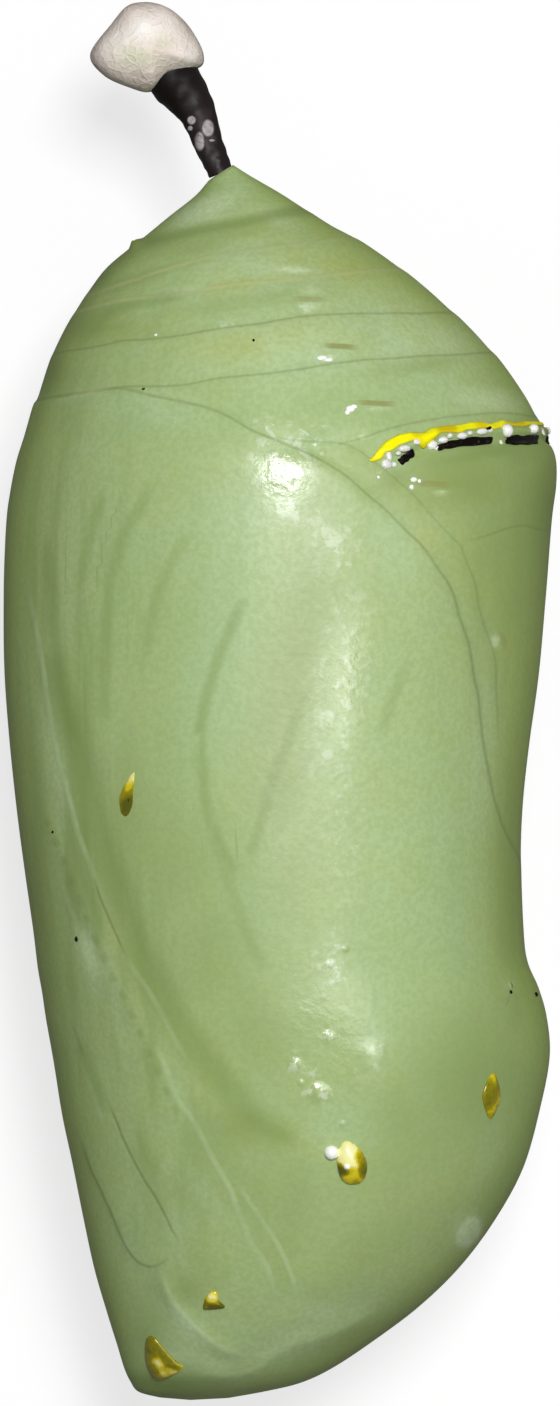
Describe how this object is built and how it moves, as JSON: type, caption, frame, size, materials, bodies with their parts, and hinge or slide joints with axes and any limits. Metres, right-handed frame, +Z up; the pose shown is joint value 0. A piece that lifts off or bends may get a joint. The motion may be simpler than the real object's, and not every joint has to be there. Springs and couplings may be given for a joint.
{
  "type": "monarch chrysalis",
  "caption": "Green pupal case with a beaded black, white and gold band, gold spots, a black stalk and a cream silk pad, lying on its side.",
  "frame": {"origin": "on the resting surface, below the middle of the bounding box", "axes": "+Z up out of the animal's right side, +Y from the head end to the tail end and its silk, +X towards the back, with the case lying on its left side"},
  "size_m": [0.011, 0.028, 0.0101],
  "materials": {
    "case_green": "waxy semi-gloss",
    "stalk_black": "wrinkled gloss",
    "silk_cream": "matted silk"
  },
  "bodies": {
    "root": {"chrysalis_case": "case_green", "cremaster_stalk": "stalk_black", "silk_button": "silk_cream"}
  },
  "joints": []
}
